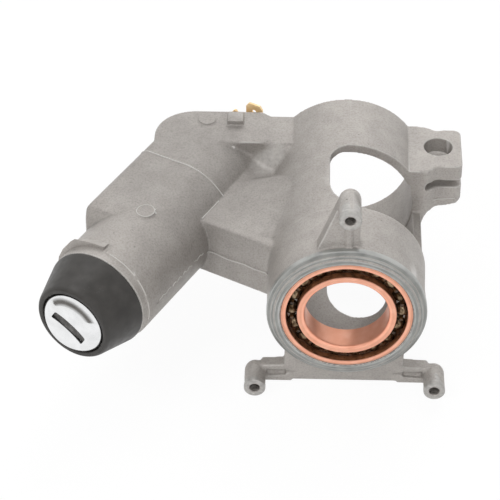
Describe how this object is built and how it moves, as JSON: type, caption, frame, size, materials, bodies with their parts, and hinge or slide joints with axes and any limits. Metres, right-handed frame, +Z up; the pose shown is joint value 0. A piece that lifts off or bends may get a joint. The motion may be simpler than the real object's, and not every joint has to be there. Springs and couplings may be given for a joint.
{
  "type": "steering lock with ignition switch",
  "caption": "Die-cast steering-lock housing with a key lock in a slanted barrel, a column ball bearing, a split clamp, screw bosses and an ignition switch at the rear.",
  "frame": {"origin": "centre of the bearing face on the column axis", "axes": "+Y along the column from the bearing face to the clamp end, +X to the side of the clamp ears, +Z up to the single boss"},
  "size_m": [0.1363, 0.1087, 0.077],
  "materials": {
    "cast_metal": "as cast",
    "bearing_copper": "copper plated",
    "cage_plastic": "oiled",
    "ball_steel": "polished",
    "bezel_plastic": "satin",
    "lock_zinc": "die cast",
    "steel": "zinc plated",
    "chrome": "polished",
    "spring_steel": "bright",
    "switch_plastic": "moulded",
    "rotor_plastic": "moulded",
    "contact_copper": "bare",
    "board_phenolic": "pressed",
    "wafer_brass": "stamped",
    "terminal_brass": "stamped"
  },
  "bodies": {
    "body": {"housing": "cast_metal", "bearing_outer_ring": "bearing_copper", "lock_bezel": "bezel_plastic", "lock_sleeve": "lock_zinc", "sleeve_pin": "steel", "bolt_cover": "steel", "bolt_spring": "spring_steel", "switch_case": "switch_plastic", "terminal_board": "board_phenolic", "terminal_1": "terminal_brass", "terminal_2": "terminal_brass", "terminal_3": "terminal_brass", "terminal_4": "terminal_brass", "terminal_5": "terminal_brass", "switch_screw": "steel", "return_spring": "spring_steel"},
    "inner_race": {"bearing_inner_ring": "bearing_copper"},
    "ball_set": {"bearing_cage": "cage_plastic", "bearing_balls": "ball_steel"},
    "key_rotor": {"lock_plug": "lock_zinc", "plug_cap": "chrome", "plug_clip": "spring_steel", "shutter_spring": "spring_steel", "wafer_springs": "spring_steel", "drive_shaft": "lock_zinc", "switch_rotor": "rotor_plastic", "contact_bridge": "contact_copper"},
    "bolt": {"lock_bolt": "steel"},
    "shutter": {"slot_shutter": "steel"},
    "tumbler_1": {"wafer_1": "wafer_brass"},
    "tumbler_2": {"wafer_2": "wafer_brass"},
    "tumbler_3": {"wafer_3": "wafer_brass"},
    "tumbler_4": {"wafer_4": "wafer_brass"},
    "tumbler_5": {"wafer_5": "wafer_brass"},
    "tumbler_6": {"wafer_6": "wafer_brass"},
    "tumbler_7": {"wafer_7": "wafer_brass"},
    "tumbler_8": {"wafer_8": "wafer_brass"}
  },
  "joints": [
    {"name": "inner_race_spin", "type": "hinge", "parent": "body", "child": "inner_race", "pos_m": [0, 0.0046, 0], "axis": [0, 1, 0], "continuous": true},
    {"name": "ball_set_spin", "type": "hinge", "parent": "body", "child": "ball_set", "pos_m": [0, 0.0046, 0], "axis": [0, 1, 0], "continuous": true},
    {"name": "key_turn", "type": "hinge", "parent": "body", "child": "key_rotor", "pos_m": [-0.0867, -0.0062, 0], "axis": [0.4795, 0.8776, 0], "range_deg": [0, 110], "deforming": ["return_spring"]},
    {"name": "bolt_slide", "type": "slide", "parent": "body", "child": "bolt", "axis": [-0.8776, 0.4795, 0], "range_m": [0, 0.00651], "deforming": ["bolt_spring"]},
    {"name": "shutter_flap", "type": "hinge", "parent": "key_rotor", "child": "shutter", "pos_m": [-0.08794, -0.00592, -0.00195], "axis": [-0.7442, 0.4066, 0.5299], "range_deg": [0, 80], "stiffness_Nm_per_rad": 0.0002, "springref_deg": -28.65, "deforming": ["shutter_spring"]},
    {"name": "tumbler_slide_1", "type": "slide", "parent": "key_rotor", "child": "tumbler_1", "axis": [0.7442, -0.4066, -0.5299], "range_m": [-0.0004, 0.0004], "stiffness_N_per_m": 100, "deforming": ["wafer_springs"]},
    {"name": "tumbler_slide_2", "type": "slide", "parent": "key_rotor", "child": "tumbler_2", "axis": [-0.7442, 0.4066, 0.5299], "range_m": [-0.0004, 0.0004], "stiffness_N_per_m": 100, "deforming": ["wafer_springs"]},
    {"name": "tumbler_slide_3", "type": "slide", "parent": "key_rotor", "child": "tumbler_3", "axis": [0.7442, -0.4066, -0.5299], "range_m": [-0.0004, 0.0004], "stiffness_N_per_m": 100, "deforming": ["wafer_springs"]},
    {"name": "tumbler_slide_4", "type": "slide", "parent": "key_rotor", "child": "tumbler_4", "axis": [-0.7442, 0.4066, 0.5299], "range_m": [-0.0004, 0.0004], "stiffness_N_per_m": 100, "deforming": ["wafer_springs"]},
    {"name": "tumbler_slide_5", "type": "slide", "parent": "key_rotor", "child": "tumbler_5", "axis": [0.7442, -0.4066, -0.5299], "range_m": [-0.0004, 0.0004], "stiffness_N_per_m": 100, "deforming": ["wafer_springs"]},
    {"name": "tumbler_slide_6", "type": "slide", "parent": "key_rotor", "child": "tumbler_6", "axis": [-0.7442, 0.4066, 0.5299], "range_m": [-0.0004, 0.0004], "stiffness_N_per_m": 100, "deforming": ["wafer_springs"]},
    {"name": "tumbler_slide_7", "type": "slide", "parent": "key_rotor", "child": "tumbler_7", "axis": [0.7442, -0.4066, -0.5299], "range_m": [-0.0004, 0.0004], "stiffness_N_per_m": 100, "deforming": ["wafer_springs"]},
    {"name": "tumbler_slide_8", "type": "slide", "parent": "key_rotor", "child": "tumbler_8", "axis": [-0.7442, 0.4066, 0.5299], "range_m": [-0.0004, 0.0004], "stiffness_N_per_m": 100, "deforming": ["wafer_springs"]}
  ],
  "couplings": [
    {"joint": "ball_set_spin", "follows": "inner_race_spin", "ratio": 0.4334},
    {"joint": "bolt_slide", "follows": "key_turn", "m_per_rad": 0.0033857}
  ]
}
